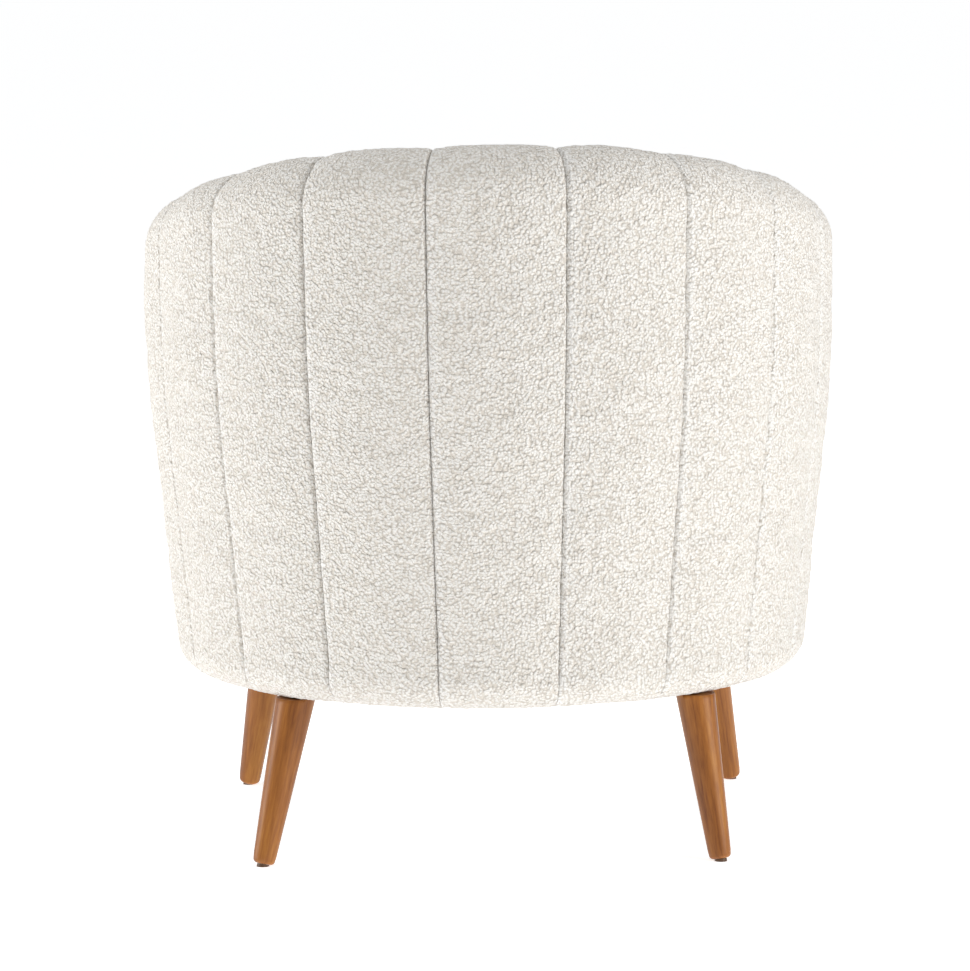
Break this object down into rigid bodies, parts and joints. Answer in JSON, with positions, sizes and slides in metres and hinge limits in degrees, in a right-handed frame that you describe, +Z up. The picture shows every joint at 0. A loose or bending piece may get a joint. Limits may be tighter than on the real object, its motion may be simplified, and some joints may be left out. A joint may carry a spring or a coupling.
{
  "type": "upholstered barrel armchair",
  "caption": "Barrel armchair with a vertically channelled wraparound wall, a lift-out seat cushion and splayed tapered wooden legs.",
  "frame": {"origin": "on the floor, in the middle of the chair's width and depth", "axes": "+Z up; the front faces -Y; +X is on the right of somebody looking at the front"},
  "size_m": [0.78, 0.72, 0.802],
  "materials": {
    "boucle": "matte",
    "foam": "matte",
    "frame_wood": "matte",
    "leg_wood": "satin",
    "steel": "satin",
    "black_cloth": "matte",
    "zip": "matte",
    "nylon": "matte"
  },
  "bodies": {
    "chair_body": {"channel_01": "boucle", "channel_02": "boucle", "channel_03": "boucle", "channel_04": "boucle", "channel_05": "boucle", "channel_06": "boucle", "channel_07": "boucle", "channel_08": "boucle", "channel_09": "boucle", "channel_10": "boucle", "channel_11": "boucle", "channel_12": "boucle", "channel_13": "boucle", "arm_front_left": "boucle", "arm_front_right": "boucle", "front_border": "boucle", "seat_deck": "foam", "seat_rail_back": "frame_wood", "seat_rail_left": "frame_wood", "seat_rail_right": "frame_wood", "seat_rail_front": "frame_wood", "corner_block_front_left": "frame_wood", "corner_block_front_right": "frame_wood", "corner_block_rear_left": "frame_wood", "corner_block_rear_right": "frame_wood", "arm_post_left": "frame_wood", "back_rib_1": "frame_wood", "back_rib_2": "frame_wood", "back_rib_3": "frame_wood", "back_rib_4": "frame_wood", "arm_post_right": "frame_wood", "top_rail": "frame_wood", "outer_board": "frame_wood", "seat_spring_1": "steel", "seat_spring_2": "steel", "seat_spring_3": "steel", "seat_spring_4": "steel", "dust_cover": "black_cloth", "leg_front_left": "leg_wood", "leg_plate_front_left": "steel", "leg_bolt_front_left": "steel", "leg_glide_front_left": "nylon", "leg_front_right": "leg_wood", "leg_plate_front_right": "steel", "leg_bolt_front_right": "steel", "leg_glide_front_right": "nylon", "leg_rear_left": "leg_wood", "leg_plate_rear_left": "steel", "leg_bolt_rear_left": "steel", "leg_glide_rear_left": "nylon", "leg_rear_right": "leg_wood", "leg_plate_rear_right": "steel", "leg_bolt_rear_right": "steel", "leg_glide_rear_right": "nylon"},
    "seat_cushion": {"cushion_bottom_panel": "boucle", "cushion_top_panel": "boucle", "cushion_band": "boucle", "cushion_zip": "zip", "cushion_foam": "foam"}
  },
  "joints": [
    {"name": "cushion_lift", "type": "slide", "parent": "chair_body", "child": "seat_cushion", "axis": [0, 0, 1], "range_m": [0, 0.5]}
  ]
}
